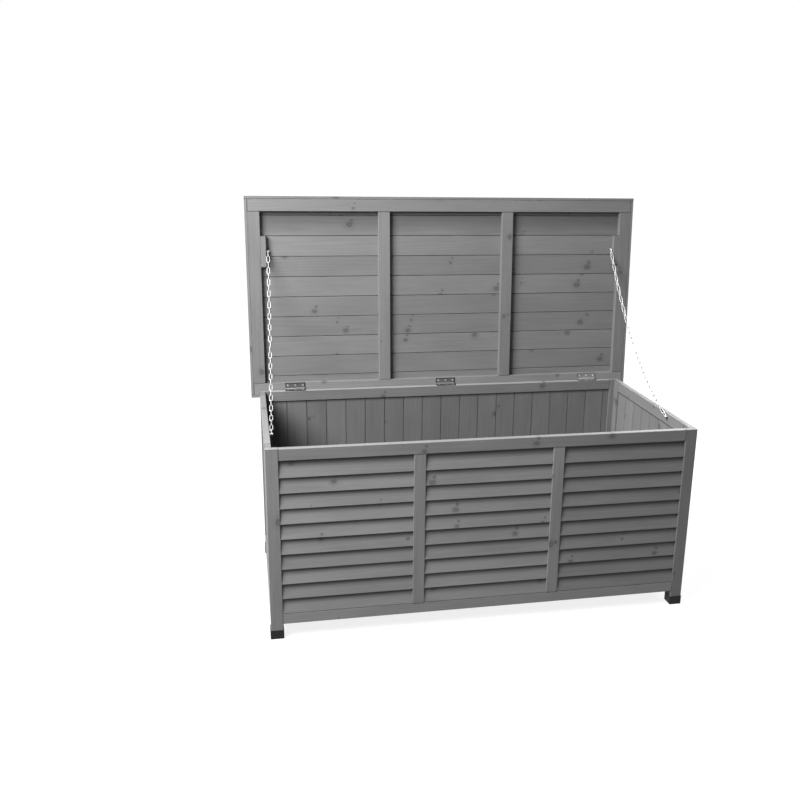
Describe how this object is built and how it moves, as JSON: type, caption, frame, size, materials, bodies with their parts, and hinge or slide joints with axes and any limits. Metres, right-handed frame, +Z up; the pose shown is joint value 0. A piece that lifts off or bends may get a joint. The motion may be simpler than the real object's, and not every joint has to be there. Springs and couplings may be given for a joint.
{
  "type": "deck storage box",
  "caption": "Framed timber chest with a louvred front, boarded back and sides, and a boarded lid that stands open on butt hinges, held by a link chain at each side",
  "frame": {"origin": "centre of the bounding box at floor level, under the foot caps, with the lid open", "axes": "+X is the long side, to the right seen from the front; +Y points to the back, where the hinges are; +Z is up"},
  "size_m": [1.2, 0.6263, 1.0948],
  "materials": {
    "stained_timber": "grey stain, dry, open grain with knots",
    "stained_boards": "grey stain, dry, tone varies from board to board",
    "bare_wood": "bare beech",
    "black_plastic": "moulded, lightly textured",
    "hinge_steel": "dark coated steel",
    "zinc_steel": "zinc plated"
  },
  "bodies": {
    "box": {"front_left_leg": "stained_timber", "front_right_leg": "stained_timber", "back_left_leg": "stained_timber", "back_right_leg": "stained_timber", "front_top_rail": "stained_timber", "front_bottom_rail": "stained_timber", "front_left_mullion": "stained_timber", "front_right_mullion": "stained_timber", "front_slats_left": "stained_boards", "front_slats_middle": "stained_boards", "front_slats_right": "stained_boards", "back_top_rail": "stained_timber", "back_bottom_rail": "stained_timber", "back_boards": "stained_boards", "left_top_rail": "stained_timber", "left_bottom_rail": "stained_timber", "left_front_stile": "stained_timber", "left_back_stile": "stained_timber", "left_boards": "stained_boards", "right_top_rail": "stained_timber", "right_bottom_rail": "stained_timber", "right_front_stile": "stained_timber", "right_back_stile": "stained_timber", "right_boards": "stained_boards", "frame_dowels": "bare_wood", "floor_bearers": "stained_timber", "floor_boards": "stained_boards", "foot_caps": "black_plastic", "hinge_box_leaves": "hinge_steel", "hinge_pins": "zinc_steel", "hinge_box_screws": "zinc_steel", "chain_box_screws": "zinc_steel"},
    "lid": {"lid_front_rail": "stained_timber", "lid_hinge_rail": "stained_timber", "lid_left_stile": "stained_timber", "lid_right_stile": "stained_timber", "lid_left_batten": "stained_timber", "lid_right_batten": "stained_timber", "lid_boards": "stained_boards", "lid_front_edging": "stained_timber", "lid_back_edging": "stained_timber", "lid_left_edging": "stained_timber", "lid_right_edging": "stained_timber", "lid_chain_blocks": "stained_timber", "hinge_lid_leaves": "hinge_steel", "hinge_lid_screws": "zinc_steel", "chain_lid_screws": "zinc_steel"},
    "left_upper_chain": {"left_chain_upper": "zinc_steel"},
    "left_lower_chain": {"left_chain_lower": "zinc_steel"},
    "right_upper_chain": {"right_chain_upper": "zinc_steel"},
    "right_lower_chain": {"right_chain_lower": "zinc_steel"}
  },
  "joints": [
    {"name": "lid_hinge", "type": "hinge", "parent": "box", "child": "lid", "pos_m": [0, 0.25053, 0.5248], "axis": [1, 0, 0], "range_deg": [0, 93]},
    {"name": "left_chain_lid_end", "type": "hinge", "parent": "lid", "child": "left_upper_chain", "pos_m": [-0.5359, 0.28388, 0.93562], "axis": [1, 0, 0], "range_deg": [-37.4, 0]},
    {"name": "left_chain_box_end", "type": "hinge", "parent": "box", "child": "left_lower_chain", "pos_m": [-0.5539, -0.16147, 0.514], "axis": [1, 0, 0], "range_deg": [-135.98, 0]},
    {"name": "right_chain_lid_end", "type": "hinge", "parent": "lid", "child": "right_upper_chain", "pos_m": [0.5359, 0.28388, 0.93562], "axis": [1, 0, 0], "range_deg": [-37.4, 0]},
    {"name": "right_chain_box_end", "type": "hinge", "parent": "box", "child": "right_lower_chain", "pos_m": [0.5539, -0.16147, 0.514], "axis": [1, 0, 0], "range_deg": [-135.98, 0]}
  ],
  "couplings": [
    {"joint": "left_chain_lid_end", "follows": "lid_hinge", "ratio": -0.4},
    {"joint": "left_chain_box_end", "follows": "lid_hinge", "ratio": -1.46},
    {"joint": "right_chain_lid_end", "follows": "lid_hinge", "ratio": -0.4},
    {"joint": "right_chain_box_end", "follows": "lid_hinge", "ratio": -1.46}
  ]
}
